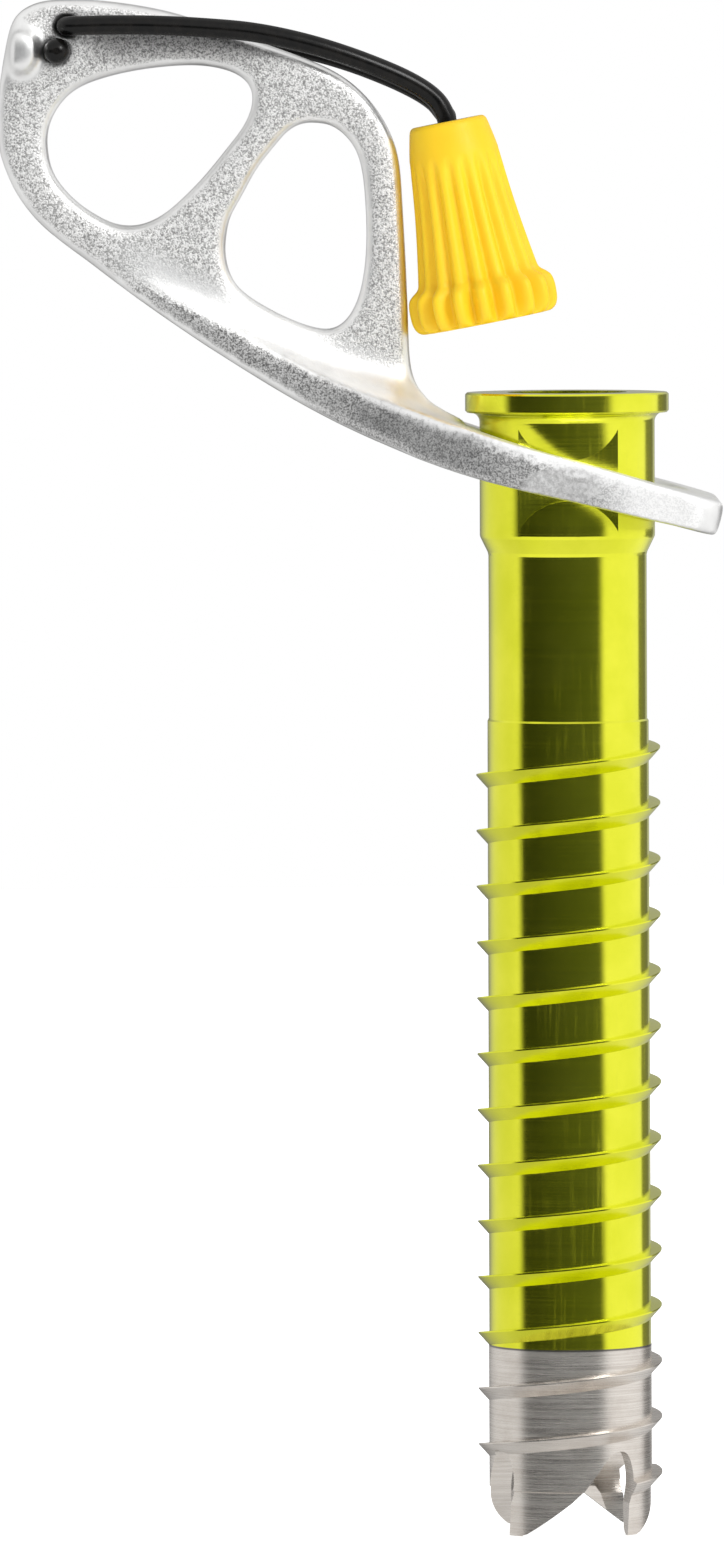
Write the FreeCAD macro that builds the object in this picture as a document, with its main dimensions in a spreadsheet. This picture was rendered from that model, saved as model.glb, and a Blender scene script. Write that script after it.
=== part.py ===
# Ice screw: threaded tube with a steel cutting tip, forged hanger and fold-out crank.
# Millimetres. +Z runs up the tube, +X away from the hanger's leaf, the origin is on the
# tube's axis at the middle of the seat that the hanger rocks on.
import FreeCAD, Part
import math
import os

V = FreeCAD.Vector
doc = FreeCAD.newDocument("IceScrew")

# ---------------------------------------------------------------- driving dimensions
DIMS = [
    ("bore_rad", 6.4), ("flange_rad", 10.88), ("flange_top", 9.25), ("flange_low", 7.1),
    ("edge_bevel", 0.2), ("head_rad", 9.36), ("head_low", -6.1), ("shoulder_low", -7.95),
    ("shank_rad", 8.46), ("shank_low", -25.85), ("root_rad", 8.62), ("joint_level", -92.67),
    ("root_rad_low", 8.68), ("spigot_rad", 7.5), ("spigot_low", -98.6), ("flange_fillet", 1.0),
    ("shoulder_fillet", 0.8),
    ("pitch", 5.98), ("crest_rad", 9.84), ("crest_right", -28.61),
    ("thread_in", 8.2), ("thread_rise", 0.1), ("thread_land", 0.14), ("thread_drop", 1.95),
    ("seat_flat", 7.72), ("seat_arc_rad", 5.9), ("seat_arc_mid", 8.05), ("seat_depth", 6.0),
    ("tip_bore", 6.4), ("tip_socket", 7.52), ("tip_rad", 8.72), ("tip_step", -107.9),
    ("tip_step_rad", 8.6), ("tip_low", -112.75), ("tip_socket_low", -98.7), ("tip_inner_low", 7.25),
    ("tip_bevel_top", -108.6),
    ("leaf_thick", 4.5), ("leaf_edge", 1.15), ("hole_edge", 1.2), ("ring_hole", 10.7),
    ("ring_tilt", 16.0), ("band_width", 40.0), ("pad_face", 8.0), ("pad_half", 1.65),
    ("pad_wide", 4.4), ("band_edge", 0.7), ("dent_rad", 31.0), ("dent_mid", 46.75),
    ("wire_rad", 1.04), ("wire_hole", 1.1), ("wire_side", 3.5), ("wire_in", 1.15),
    ("wire_bend", 1.2), ("wire_curve", 14.0), ("ball_rad", 1.4), ("ball_flat", 2.33),
    ("sunk_rad", 1.5), ("sunk_gap", 0.06), ("boss_out", 4.2), ("boss_edge", 0.35),
    ("sleeve_rad", 2.8), ("sleeve_flange_rad", 3.3), ("sleeve_flange_thick", 0.9),
    ("sleeve_long", 20.2), ("socket_deep", 14.0), ("run_gap", 0.05), ("end_gap", 0.12),
    ("knob_top", 4.05), ("collar_rad", 4.5), ("collar_long", 3.9), ("knob_waist", 6.3),
    ("waist_at", 16.2), ("skirt_rad", 7.8), ("skirt_at", 19.2), ("knob_long", 21.8),
    ("knob_round", 0.9), ("recess_rad", 4.7), ("recess_at", 19.0), ("clip_rad", 4.2),
    ("clip_thick", 0.7), ("rib_count", 18), ("flute_rad", 0.62), ("flute_out", 0.12),
]
D = dict(DIMS)
sheet = doc.addObject("Spreadsheet::Sheet", "Dims")
for n, (alias, value) in enumerate(DIMS, start=1):
    sheet.set("A%d" % n, alias)
    sheet.set("B%d" % n, str(value))
    sheet.setAlias("B%d" % n, alias)
doc.recompute()


def terms(text):
    """(number, sheet expression) of a sum such as 'head_rad - edge_bevel'"""
    total, sign, out = 0.0, 1.0, []
    for word in text.split():
        if word in "+-":
            sign = 1.0 if word == "+" else -1.0
            out.append(word)
            continue
        if word in D:
            total += sign * D[word]
            out.append("Dims." + word)
        else:
            total += sign * float(word)
            out.append(word)
        sign = 1.0
    return total, " ".join(out)


def bind(obj, prop, text):
    obj.setExpression(prop, terms(text)[1])


def origin_plane(body, role):
    for feature in body.Origin.OriginFeatures:
        if feature.Role == role:
            return feature
    raise RuntimeError("no plane " + role)


def new_body(label):
    body = doc.addObject("PartDesign::Body", label)
    body.Label = label
    return body


def body_sketch(body, name, role):
    sk = body.newObject("Sketcher::SketchObject", name)
    sk.AttachmentSupport = [(origin_plane(body, role), "")]
    sk.MapMode = "FlatFace"
    return sk


def polygon(sk, points):
    """A closed polygon whose corners are sums of sheet cells, each bound to the sheet"""
    values = [(terms(a)[0], terms(b)[0]) for a, b in points]
    count = len(points)
    for i in range(count):
        p, q = values[i], values[(i + 1) % count]
        sk.addGeometry(Part.LineSegment(V(p[0], p[1], 0), V(q[0], q[1], 0)), False)
    cons = Sketcher_constraints(count, values)
    sk.addConstraint(cons)
    base = count
    for i in range(count):
        if values[i][0] != 0.0:
            sk.setExpression("Constraints[%d]" % (base + 2 * i), terms(points[i][0])[1])
        if values[i][1] != 0.0:
            sk.setExpression("Constraints[%d]" % (base + 2 * i + 1), terms(points[i][1])[1])
    return sk


def Sketcher_constraints(count, values):
    import Sketcher

    cons = [Sketcher.Constraint("Coincident", i, 2, (i + 1) % count, 1) for i in range(count)]
    for i in range(count):
        cons.append(Sketcher.Constraint("DistanceX", -1, 1, i, 1, values[i][0]))
        cons.append(Sketcher.Constraint("DistanceY", -1, 1, i, 1, values[i][1]))
    return cons


def revolve(body, sk, name):
    rev = body.newObject("PartDesign::Revolution", name)
    rev.Profile = sk
    rev.ReferenceAxis = (sk, ["V_Axis"])
    rev.Angle = 360
    doc.recompute()
    return rev


def edge_names(shape, test):
    return ["Edge%d" % (i + 1) for i, e in enumerate(shape.Edges) if test(e)]


def circle_at(level, radius, tol=0.02):
    def test(e):
        c = e.Curve
        return (c.TypeId == "Part::GeomCircle" and abs(c.Radius - radius) < tol
                and abs(e.BoundBox.ZMin - level) < tol and abs(e.BoundBox.ZMax - level) < tol)
    return test


def spline(points, closed=False):
    curve = Part.BSplineCurve()
    curve.interpolate(Points=[V(*p) for p in points], PeriodicFlag=closed)
    return curve


def xz(points, y=0.0):
    return [(x, y, z) for x, z in points]


def feature(name, shape):
    obj = doc.addObject("Part::Feature", name)
    obj.Shape = shape
    return obj


def cut(name, base, tool):
    obj = doc.addObject("Part::Cut", name)
    obj.Base, obj.Tool = base, tool
    doc.recompute()
    return obj


def fuse(name, shapes):
    obj = doc.addObject("Part::MultiFuse", name)
    obj.Shapes = shapes
    obj.Refine = True
    doc.recompute()
    return obj


def common(name, shapes):
    obj = doc.addObject("Part::MultiCommon", name)
    obj.Shapes = shapes
    doc.recompute()
    return obj


def extrude_y(name, base, half):
    """A flat XZ wire's face carried both ways along Y"""
    obj = doc.addObject("Part::Extrusion", name)
    obj.Base = base
    obj.DirMode = "Custom"
    obj.Dir = V(0, 1, 0)
    obj.Solid = True
    obj.Symmetric = True
    bind(obj, "LengthFwd", half)
    doc.recompute()
    return obj


# ---------------------------------------------------------------- helical thread
def thread_profile(name):
    """Sawtooth section: steep upper flank, long lower flank, narrow land at the crest"""
    sk = doc.addObject("Sketcher::SketchObject", name)
    sk.Placement = FreeCAD.Placement(V(0, 0, 0), FreeCAD.Rotation(V(1, 0, 0), 90))
    polygon(sk, [("thread_in", "thread_rise"), ("crest_rad", "0.0"),
                 ("crest_rad", "- thread_land"), ("thread_in", "- thread_drop")])
    return sk


def thread(name, turns, start, angle_deg, cone=0.0, height=None):
    """A sweep of the thread section up a right-handed helix that starts at start, angle_deg round from +X"""
    helix = doc.addObject("Part::Helix", name + "_helix")
    bind(helix, "Pitch", "pitch")
    bind(helix, "Radius", "crest_rad")
    helix.Height = turns * D["pitch"]
    helix.Angle = cone
    helix.SegmentLength = 1.0
    profile = thread_profile(name + "_section")
    doc.recompute()
    sweep = doc.addObject("Part::Sweep", name + "_sweep")
    sweep.Sections = [profile]
    sweep.Spine = (helix, ["Edge%d" % (i + 1) for i in range(len(helix.Shape.Edges))])
    sweep.Solid = True
    sweep.Frenet = True
    sweep.Placement = FreeCAD.Placement(V(0, 0, start), FreeCAD.Rotation(V(0, 0, 1), angle_deg))
    doc.recompute()
    return sweep


# ---------------------------------------------------------------- tube
blank = new_body("tube_blank")
sk = body_sketch(blank, "TubeProfile", "XZ_Plane")
polygon(sk, [
    ("bore_rad", "flange_top"), ("flange_rad - edge_bevel", "flange_top"),
    ("flange_rad", "flange_top - edge_bevel"), ("flange_rad", "flange_low + edge_bevel"),
    ("flange_rad - edge_bevel", "flange_low"), ("head_rad", "flange_low"),
    ("head_rad", "head_low"), ("shank_rad", "shoulder_low"),
    ("shank_rad", "shank_low + edge_bevel"), ("root_rad", "shank_low"),
    ("root_rad_low", "joint_level"), ("spigot_rad", "joint_level"),
    ("spigot_rad", "spigot_low"), ("bore_rad", "spigot_low"),
])
rev = revolve(blank, sk, "TubeTurned")
under = blank.newObject("PartDesign::Fillet", "UnderFlange")
under.Base = (rev, edge_names(rev.Shape, circle_at(D["flange_low"], D["head_rad"])))
bind(under, "Radius", "flange_fillet")
doc.recompute()
shoulder = blank.newObject("PartDesign::Fillet", "Shoulder")
shoulder.Base = (under, edge_names(under.Shape, circle_at(D["head_low"], D["head_rad"]))
                 + edge_names(under.Shape, circle_at(D["shoulder_low"], D["shank_rad"])))
bind(shoulder, "Radius", "shoulder_fillet")
doc.recompute()

# the two hourglass seats, front and back: a flat between two arcs
def seat_cutter(name, side):
    r, mid, flat = D["seat_arc_rad"], D["seat_arc_mid"], D["seat_flat"]
    halfw = 5.5
    dz = mid - math.sqrt(r * r - halfw * halfw)
    a = V(-halfw, 0, dz)
    b = V(0, 0, mid - r)
    c = V(halfw, 0, dz)
    low = [V(p.x, 0, -p.z) for p in (a, b, c)]
    wire = Part.Wire([Part.Arc(a, b, c).toShape(), Part.LineSegment(c, low[2]).toShape(),
                      Part.Arc(low[2], low[1], low[0]).toShape(), Part.LineSegment(low[0], a).toShape()])
    face = Part.Face(wire)
    solid = face.extrude(V(0, side * D["seat_depth"], 0))
    solid.translate(V(0, side * flat, 0))
    return feature(name, solid)


seats = fuse("seat_cutters", [seat_cutter("seat_front_cutter", -1), seat_cutter("seat_back_cutter", 1)])
head = cut("tube_seated", blank, seats)

turns_tube = 12
main = thread("tube_thread", turns_tube, D["crest_right"] - turns_tube * D["pitch"], 0)
leadin_h = D["pitch"] / 2
lead = thread("tube_thread_lead", 0.5, D["crest_right"], 0,
              cone=-math.degrees(math.atan((D["crest_rad"] - D["root_rad"] + 0.1) / leadin_h)))
above = doc.addObject("Part::Cylinder", "above_joint")
above.Radius = 14
above.Height = 80
above.Placement.Base = V(0, 0, D["joint_level"])
bind(above, "Placement.Base.z", "joint_level")
upper = common("tube_thread_upper", [main, above])
tube = fuse("tube", [head, upper, lead])
tube.Label = "tube"

# ---------------------------------------------------------------- cutting tip
crown = new_body("tip_blank")
sk = body_sketch(crown, "TipProfile", "XZ_Plane")
polygon(sk, [
    ("tip_socket", "joint_level"), ("tip_rad", "joint_level"), ("tip_rad", "tip_step"),
    ("tip_step_rad", "tip_step - 0.1"), ("tip_step_rad", "tip_low"), ("tip_inner_low", "tip_low"),
    ("tip_bore", "tip_bevel_top"), ("tip_bore", "tip_socket_low"), ("tip_socket", "tip_socket_low"),
])
revolve(crown, sk, "TipTurned")
tip_turns = 3
tip_thread = thread("tip_thread", tip_turns, D["crest_right"] - 13 * D["pitch"] - D["pitch"] / 8, -45)
below = doc.addObject("Part::Cylinder", "below_joint")
below.Radius = 14
below.Height = 30
below.Placement.Base = V(0, 0, D["joint_level"] - 30)
bind(below, "Placement.Base.z", "joint_level - 30")
tip_thread_low = common("tip_thread_low", [tip_thread, below])

# one gullet between two teeth, cut square to its own radius: long trailing slope, round
# root, hooked leading face
def gullet(name, lead_deg):
    mid = math.radians(-29.0)
    r = D["tip_rad"]

    def x(deg):
        return r * math.sin(math.radians(deg) - mid)

    z0 = D["tip_low"]
    trail = [(x(-76.5), z0 + 0.25), (x(-43.0), z0 + 3.7), (x(-34.5), z0 + 4.9), (x(-21.5), z0 + 7.4)]
    root = [(x(-21.5), z0 + 7.4), (x(-15.5), z0 + 8.5), (x(-9.0), z0 + 9.05), (x(-2.0), z0 + 8.9),
            (x(3.6), z0 + 7.7), (x(6.0), z0 + 6.2), (x(5.2), z0 + 4.8), (x(1.8), z0 + 3.4)]
    edges = []
    for p, q in zip(trail, trail[1:]):
        edges.append(Part.LineSegment(V(p[0], 0, p[1]), V(q[0], 0, q[1])).toShape())
    edges.append(spline(xz(root)).toShape())
    tail = [root[-1], (x(0.0), z0 - 0.05), (x(0.0), z0 - 2), (x(-80.0), z0 - 2), (x(-80.0), z0 + 0.1), trail[0]]
    for p, q in zip(tail, tail[1:]):
        edges.append(Part.LineSegment(V(p[0], 0, p[1]), V(q[0], 0, q[1])).toShape())
    face = Part.Face(Part.Wire(edges))
    solid = face.extrude(V(0, -12, 0))
    solid.translate(V(0, -0.6, 0))
    # the section faces -Y, so a gullet whose middle is at an angle about Z is turned by that angle less -90
    solid.rotate(V(0, 0, 0), V(0, 0, 1), lead_deg - 29.0 + 90.0)
    return feature(name, solid)


crown_cut, thread_cut = crown, tip_thread_low
# the teeth are a few degrees off an even spacing, which keeps them from chattering
for k, lead_at in enumerate((-46.5, 46.0, 128.0, 219.0)):
    tool = gullet("gullet_%d" % (k + 1), lead_at)
    crown_cut = cut("crown_cut_%d" % (k + 1), crown_cut, tool)
    thread_cut = cut("tip_thread_cut_%d" % (k + 1), thread_cut, tool)
tip = fuse("cutting_tip", [crown_cut, thread_cut])
tip.Label = "cutting_tip"

# ---------------------------------------------------------------- hanger
HOLE1 = [(-55.36, 35.9), (-55.24, 37.51), (-54.81, 38.79), (-54.06, 40.07), (-52.98, 41.24), (-51.69, 42.09), (-49.77, 42.83), (-47.62, 43.41), (-44.95, 43.9), (-42.06, 44.21), (-39.06, 44.26), (-36.93, 43.95), (-35.0, 43.25), (-33.83, 42.23), (-33.41, 40.84), (-33.63, 39.45), (-34.49, 37.63), (-35.89, 35.82), (-37.5, 33.8), (-39.12, 31.93), (-41.05, 30.01), (-42.98, 28.42), (-44.7, 27.54), (-46.62, 27.2), (-48.33, 27.48), (-50.04, 28.29), (-51.75, 29.42), (-53.45, 31.03), (-54.73, 32.91)]
HOLE2 = [(-27.11, 38.14), (-28.4, 37.96), (-29.68, 37.24), (-31.08, 35.69), (-32.48, 33.99), (-33.77, 31.96), (-34.95, 29.77), (-35.82, 28.23), (-36.25, 26.52), (-36.42, 24.59), (-36.16, 22.77), (-35.31, 20.95), (-33.82, 19.56), (-31.9, 18.37), (-29.77, 17.29), (-27.84, 16.54), (-26.14, 16.12), (-24.85, 16.2), (-23.67, 16.95), (-22.7, 18.33), (-22.05, 20.04), (-21.62, 22.18), (-21.39, 24.53), (-21.35, 27.2), (-21.48, 30.09), (-21.84, 33.3), (-22.52, 35.34), (-23.69, 36.86), (-25.4, 37.92)]
# outline of the leaf: the long curve down its back, then its front edge and crest
BACK = [(-54.22, 51.35), (-56.15, 51.09), (-57.65, 50.46), (-58.78, 49.4), (-59.3, 48.22), (-59.68, 46.62), (-60.02, 44.8), (-60.35, 42.66), (-60.58, 40.52), (-60.64, 38.39), (-60.58, 36.25), (-60.28, 34.53), (-59.75, 33.03), (-59.01, 31.32), (-57.8, 29.39), (-56.4, 27.7), (-53.9, 25.52), (-51.34, 23.59), (-46.23, 19.75), (-41.11, 16.16), (-35.99, 12.8), (-30.87, 9.62), (-25.75, 6.79), (-20.62, 4.34), (-15.5, 2.28), (-11.01, 0.8)]
FRONT = [(-11.01, 6.2), (-12.48, 6.84), (-13.6, 7.44), (-14.65, 8.24), (-15.6, 9.32), (-16.28, 10.6), (-16.67, 12.1), (-16.84, 13.81), (-16.91, 15.95), (-16.97, 18.09), (-17.22, 24.51), (-17.54, 30.4), (-17.7, 32.86), (-18.05, 35.0), (-18.67, 36.81), (-19.62, 38.64), (-20.79, 40.3), (-22.18, 41.75), (-23.77, 43.0), (-25.7, 44.08), (-28.36, 45.2), (-31.03, 46.17), (-33.7, 47.13), (-36.37, 48.12), (-39.04, 49.05), (-41.71, 49.86), (-44.39, 50.48), (-47.59, 51.0), (-50.8, 51.33), (-54.22, 51.35)]
BAND_LOW = [(-51.8, 23.95), (-46.23, 19.75), (-42.39, 17.02), (-38.55, 14.41), (-34.71, 11.97), (-30.87, 9.62), (-27.03, 7.44), (-23.19, 5.5), (-19.34, 3.8), (-15.5, 2.28), (-11.65, 0.98), (-9.0, 0.2), (-4.5, -0.95), (0.0, -2.05), (5.76, -3.5), (9.5, -4.45), (13.13, -5.37), (17.3, -6.45)]
BAND_UP = [(-51.8, 24.4), (-45.58, 21.96), (-41.31, 19.48), (-38.11, 17.7), (-34.91, 15.92), (-31.71, 14.12), (-28.5, 12.43), (-25.3, 10.95), (-22.1, 9.72), (-17.83, 8.25), (-13.55, 6.75), (-9.28, 5.23), (-4.48, 3.72), (0.54, 2.2), (5.14, 0.72), (9.62, -0.84), (13.15, -2.09), (17.3, -3.6)]
# plan of the band: half width against X, narrow along the leaf, flaring into the ring
PLAN = [(-52.5, 1.3), (-47.0, 2.3), (-40.0, 3.15), (-33.0, 4.2), (-26.0, 5.7), (-20.5, 7.9), (-16.5, 10.4), (-13.0, 12.9), (-9.5, 14.9), (-5.5, 15.85), (-2.0, 16.0)]


def outline_sketch(body, name, curves, lines):
    sk = body_sketch(body, name, "XZ_Plane")
    for points, closed in curves:
        sk.addGeometry(spline([(x, z, 0) for x, z in points], closed), False)
    for p, q in lines:
        sk.addGeometry(Part.LineSegment(V(p[0], p[1], 0), V(q[0], q[1], 0)), False)
    return sk


leaf = new_body("leaf_blank")
sk = outline_sketch(leaf, "LeafOutline", [(BACK, False), (FRONT, False)], [(BACK[-1], FRONT[0])])
pad = leaf.newObject("PartDesign::Pad", "LeafPad")
pad.Profile = sk
bind(pad, "Length", "leaf_thick")
pad.SideType = "Symmetric"
doc.recompute()
sk = outline_sketch(leaf, "ClipHoles", [(HOLE1, True), (HOLE2, True)], [])
holes = leaf.newObject("PartDesign::Pocket", "ClipHolePocket")
holes.Profile = sk
holes.Length = 20
holes.SideType = "Symmetric"
doc.recompute()


def on_face(level):
    """Edges lying in the plane Y = level, either side"""
    def test(e):
        b = e.BoundBox
        return abs(abs(b.YMin) - level) < 0.01 and abs(abs(b.YMax) - level) < 0.01 and b.YLength < 0.01
    return test


def long_edge(e):
    return e.Length > 30


halft = D["leaf_thick"] / 2
names = [n for n in edge_names(holes.Shape, on_face(halft)) if long_edge(holes.Shape.getElement(n))]
soft = leaf.newObject("PartDesign::Fillet", "LeafEdges")
soft.Base = (holes, names)
bind(soft, "Radius", "leaf_edge")
doc.recompute()

# band: front-view profile crossed with the plan outline
edges = [spline(xz(BAND_LOW)).toShape(),
         Part.LineSegment(V(BAND_LOW[-1][0], 0, BAND_LOW[-1][1]), V(BAND_UP[-1][0], 0, BAND_UP[-1][1])).toShape(),
         spline(xz(list(reversed(BAND_UP)))).toShape(),
         Part.LineSegment(V(BAND_UP[0][0], 0, BAND_UP[0][1]), V(BAND_LOW[0][0], 0, BAND_LOW[0][1])).toShape()]
band_wire = feature("band_profile", Part.Wire(edges))
band_side = extrude_y("band_side", band_wire, "band_width")

corner = 3.4
right = 16.75
half = PLAN[-1][1]
plan_front = [(x, -w, 0) for x, w in PLAN]
plan_back = [(x, w, 0) for x, w in reversed(PLAN)]
diag = corner * (1 - math.sqrt(0.5))
edges = [spline(plan_front).toShape(),
         Part.LineSegment(V(PLAN[-1][0], -half, 0), V(right - corner, -half, 0)).toShape(),
         Part.Arc(V(right - corner, -half, 0), V(right - diag, -half + diag, 0), V(right, -half + corner, 0)).toShape(),
         Part.LineSegment(V(right, -half + corner, 0), V(right, half - corner, 0)).toShape(),
         Part.Arc(V(right, half - corner, 0), V(right - diag, half - diag, 0), V(right - corner, half, 0)).toShape(),
         Part.LineSegment(V(right - corner, half, 0), V(PLAN[-1][0], half, 0)).toShape(),
         spline(plan_back).toShape(),
         Part.LineSegment(V(PLAN[0][0], PLAN[0][1], 0), V(PLAN[0][0], -PLAN[0][1], 0)).toShape()]
plan_wire = feature("band_plan", Part.Wire(edges))
plan_up = doc.addObject("Part::Extrusion", "band_plan_up")
plan_up.Base = plan_wire
plan_up.DirMode = "Custom"
plan_up.Dir = V(0, 0, 1)
plan_up.Solid = True
plan_up.Symmetric = True
plan_up.LengthFwd = 80
doc.recompute()
band = common("band_blank", [band_side, plan_up])

ring_hole = doc.addObject("Part::Cylinder", "ring_hole_cutter")
bind(ring_hole, "Radius", "ring_hole")
ring_hole.Height = 40
tilt = FreeCAD.Rotation(V(0, 1, 0), D["ring_tilt"])
ring_hole.Placement = FreeCAD.Placement(tilt.multVec(V(0, 0, -20)), tilt)
doc.recompute()


def ring_pad(name, side):
    """The crimped pad that stands in from the ring's wall into a seat of the tube"""
    box = doc.addObject("Part::Box", name)
    box.Length = 2 * D["pad_wide"]
    bind(box, "Length", "pad_wide + pad_wide")
    box.Width = 4.5
    bind(box, "Height", "pad_half + pad_half")
    y = D["pad_face"] if side > 0 else -D["pad_face"] - 4.5
    box.Placement = FreeCAD.Placement(tilt.multVec(V(-D["pad_wide"], y, -D["pad_half"])), tilt)
    doc.recompute()
    rounded = doc.addObject("Part::Fillet", name + "_rounded")
    rounded.Base = box
    inner = D["pad_face"] * side
    picked = []
    for i, e in enumerate(box.Shape.Edges):
        p, q = e.Vertexes[0].Point, e.Vertexes[1].Point
        if abs(p.y - q.y) > 1 or (abs(p.y - inner) < 0.01 and abs(q.y - inner) < 0.01):
            picked.append((i + 1, 0.6, 0.6))
    rounded.Edges = picked
    doc.recompute()
    return rounded


pads = [ring_pad("pad_front", -1), ring_pad("pad_back", 1)]


def dent(name, side):
    ball = doc.addObject("Part::Sphere", name)
    bind(ball, "Radius", "dent_rad")
    ball.Placement.Base = V(-0.6, side * D["dent_mid"], -0.05)
    return ball


dents = [dent("dent_front", -1), dent("dent_back", 1)]

# stop bosses on which the unfolded wires lie: rounded lugs that stand out of the leaf's end
BOSS_F = [(-58.9, 48.35), (-57.6, 48.05), (-56.5, 47.7), (-56.2, 46.7), (-56.35, 44.9), (-57.3, 43.5), (-58.6, 43.3), (-59.3, 44.3), (-59.25, 46.6)]
BOSS_B = [(-59.0, 45.95), (-57.6, 45.45), (-56.4, 44.95), (-56.2, 43.9), (-56.35, 42.2), (-57.3, 40.9), (-58.8, 40.75), (-59.9, 41.7), (-59.6, 44.0)]


def boss(name, points, side):
    pts = [V(x, 0, z) for x, z in points]
    face = Part.Face(Part.makePolygon(pts + [pts[0]]))
    solid = face.extrude(V(0, side * (D["boss_out"] - 1.5), 0))
    solid.translate(V(0, side * 1.5, 0))
    outer = [e for e in solid.Edges if abs(e.CenterOfMass.y - side * D["boss_out"]) < 0.01]
    return feature(name, solid.makeFillet(D["boss_edge"], outer))


bosses = [boss("boss_front", BOSS_F, -1), boss("boss_back", BOSS_B, 1)]

PIVOT_A = (-53.27, 48.52)
PIVOT_B = (-54.24, 45.85)


def along_y(name, at, radius_text, y0, length):
    cyl = doc.addObject("Part::Cylinder", name)
    bind(cyl, "Radius", radius_text)
    cyl.Height = length
    cyl.Placement = FreeCAD.Placement(V(at[0], y0, at[1]), FreeCAD.Rotation(V(1, 0, 0), -90))
    return cyl


hole_a = along_y("pivot_hole_a", PIVOT_A, "wire_hole", -10, 20)
hole_b = along_y("pivot_hole_b", PIVOT_B, "wire_hole", -10, 20)
sink = doc.addObject("Part::Cone", "pivot_sink_a")
sink.Radius1 = D["wire_hole"]
bind(sink, "Radius1", "wire_hole")
bind(sink, "Radius2", "sunk_rad + sunk_gap")
sink.Height = 0.7
sink.Placement = FreeCAD.Placement(V(PIVOT_A[0], halft - 0.7, PIVOT_A[1]), FreeCAD.Rotation(V(1, 0, 0), -90))
doc.recompute()

rough = fuse("hanger_rough", [leaf, band] + bosses)
opened = cut("hanger_opened", rough, ring_hole)
padded = fuse("hanger_padded", [opened] + pads)
drills = fuse("hanger_drills", [hole_a, hole_b, sink])
drilled = cut("hanger_drilled", padded, drills)
dent_tools = fuse("hanger_dents", dents)
hanger = cut("hanger", drilled, dent_tools)
hanger.Label = "hanger"

# ---------------------------------------------------------------- crank wires
K_TOP = V(-12.67, 0, 38.18)
K_DIR = V(4.08, 0, -20.98)
K_DIR.normalize()


def rounded_path(points, radii):
    """Straight runs joined by tangent arcs, one radius for each inner point"""
    pts = [V(*p) for p in points]
    edges, last = [], pts[0]
    for i in range(1, len(pts) - 1):
        a = (pts[i - 1] - pts[i]).normalize()
        b = (pts[i + 1] - pts[i]).normalize()
        half_angle = a.getAngle(b) / 2
        run = radii[i - 1] / math.tan(half_angle)
        room = 0.49 * min((pts[i - 1] - pts[i]).Length, (pts[i + 1] - pts[i]).Length)
        if run > room:
            run = room
        radius = run * math.tan(half_angle)
        p, q = pts[i] + a * run, pts[i] + b * run
        centre = pts[i] + (a + b).normalize() * (radius / math.sin(half_angle))
        mid = centre + (pts[i] - centre).normalize() * radius
        if (p - last).Length > 1e-6:
            edges.append(Part.LineSegment(last, p).toShape())
        edges.append(Part.Arc(p, mid, q).toShape())
        last = q
    edges.append(Part.LineSegment(last, pts[-1]).toShape())
    return Part.Wire(edges)


def pipe(path, radius):
    start = path.Edges[0].firstVertex().Point if path.Edges[0].Orientation == "Forward" else path.Edges[0].lastVertex().Point
    tangent = path.Edges[0].tangentAt(path.Edges[0].FirstParameter)
    section = Part.Wire(Part.makeCircle(radius, path.Edges[0].valueAt(path.Edges[0].FirstParameter), tangent))
    solid = path.makePipeShell([section], True, False, 1)
    want = math.pi * radius ** 2 * path.Length
    if abs(solid.Volume - want) > 0.03 * want:
        raise RuntimeError("the wire's volume is %.2f, not %.2f" % (solid.Volume, want))
    return solid


side, inn = D["wire_side"], D["wire_in"]
deep = K_TOP + K_DIR * D["socket_deep"]
FRONT_WIRE = [
    (PIVOT_A[0], halft - 0.3, PIVOT_A[1]), (PIVOT_A[0], -side, PIVOT_A[1]),
    (-41.0, -side, 48.45), (-33.81, -side, 48.02), (-28.4, -side + 0.2, 46.95),
    (-21.42, -2.55, 44.42), (-16.4, -1.6, 42.15),
    (K_TOP.x - K_DIR.x * 1.35, -inn, K_TOP.z - K_DIR.z * 1.35), (deep.x, -inn, deep.z),
]
FRONT_RADII = [D["wire_bend"], 30, 22, 30, 60, 20, 2.6]
front_path = rounded_path(FRONT_WIRE, FRONT_RADII)
stem = pipe(front_path, D["wire_rad"])
# countersunk peened head, flush with the back of the leaf
cone = Part.makeCone(D["wire_rad"], D["sunk_rad"], 0.66, V(PIVOT_A[0], halft - 0.68, PIVOT_A[1]), V(0, 1, 0))
front_wire = feature("front_crank_wire", stem.fuse(cone).removeSplitter())
front_wire.Label = "front_crank_wire"

near = K_TOP - K_DIR * 0.28
BACK_WIRE = [
    (PIVOT_B[0], -D["ball_flat"] - 0.2, PIVOT_B[1]), (PIVOT_B[0], side, PIVOT_B[1]),
    (-41.0, side, 46.1), (-33.0, side, 46.5), (-27.9, side - 0.2, 46.0), (-23.2, 2.75, 44.65),
    (-17.6, 1.75, 42.3),
    (near.x - K_DIR.x * 1.6, inn, near.z - K_DIR.z * 1.6), (near.x, inn, near.z),
]
BACK_RADII = [D["wire_bend"], 40, 30, 30, 50, 20, 2.6]
back_path = rounded_path(BACK_WIRE, BACK_RADII)
stem = pipe(back_path, D["wire_rad"])
ball = Part.makeSphere(D["ball_rad"], V(PIVOT_B[0], -D["ball_flat"] - 0.75, PIVOT_B[1]))
keep = Part.makeBox(6, 6, 6, V(PIVOT_B[0] - 3, -D["ball_flat"] - 6, PIVOT_B[1] - 3))
back_wire = feature("back_crank_wire", stem.fuse(ball.common(keep)).removeSplitter())
back_wire.Label = "back_crank_wire"

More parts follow.
